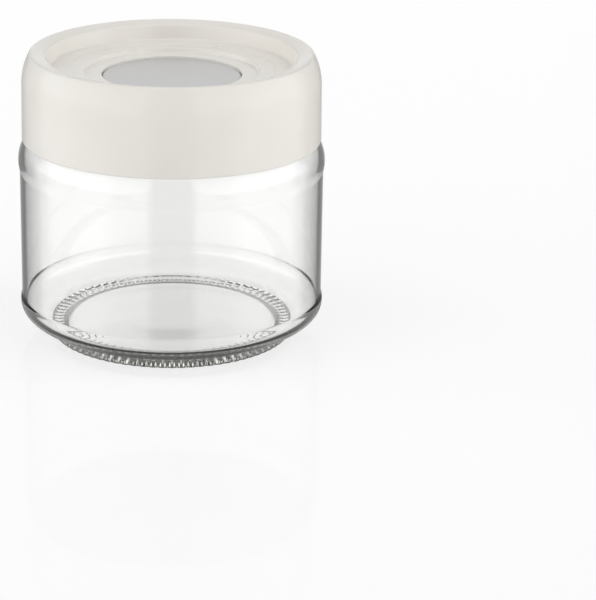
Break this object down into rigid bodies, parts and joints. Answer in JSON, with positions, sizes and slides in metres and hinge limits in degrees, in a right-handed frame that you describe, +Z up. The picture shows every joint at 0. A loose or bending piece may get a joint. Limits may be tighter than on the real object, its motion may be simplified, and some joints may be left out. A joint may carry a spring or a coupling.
{
  "type": "screw-top glass jar",
  "caption": "Low round clear glass jar for spices on a stippled foot ring, with a cream plastic screw lid that has a stepped recess and a flat grey disc in its middle.",
  "frame": {"origin": "middle of the foot, on the surface the jar stands on", "axes": "+Z up along the jar's axis; X and Y are level, and the jar is round about Z apart from its screw thread"},
  "size_m": [0.1, 0.1, 0.094],
  "materials": {
    "clear_glass": "clear, very slightly green-grey where it is thick",
    "cream_plastic": "smooth moulded, soft gloss",
    "satin_steel": "satin",
    "white_silicone": "matt"
  },
  "bodies": {
    "jar": {"glass_jar": "clear_glass"},
    "seal": {"seal_ring": "white_silicone"},
    "lid": {"lid_shell": "cream_plastic", "lid_disc": "satin_steel"}
  },
  "joints": [
    {"name": "lid_rise", "type": "slide", "parent": "jar", "child": "seal", "axis": [0, 0, 1], "range_m": [0, 0.0201]},
    {"name": "lid_turn", "type": "hinge", "parent": "seal", "child": "lid", "pos_m": [0, 0, 0.0844], "axis": [0, 0, 1], "range_deg": [0, 1440]}
  ],
  "couplings": [
    {"joint": "lid_rise", "follows": "lid_turn", "m_per_rad": 0.00079577}
  ]
}
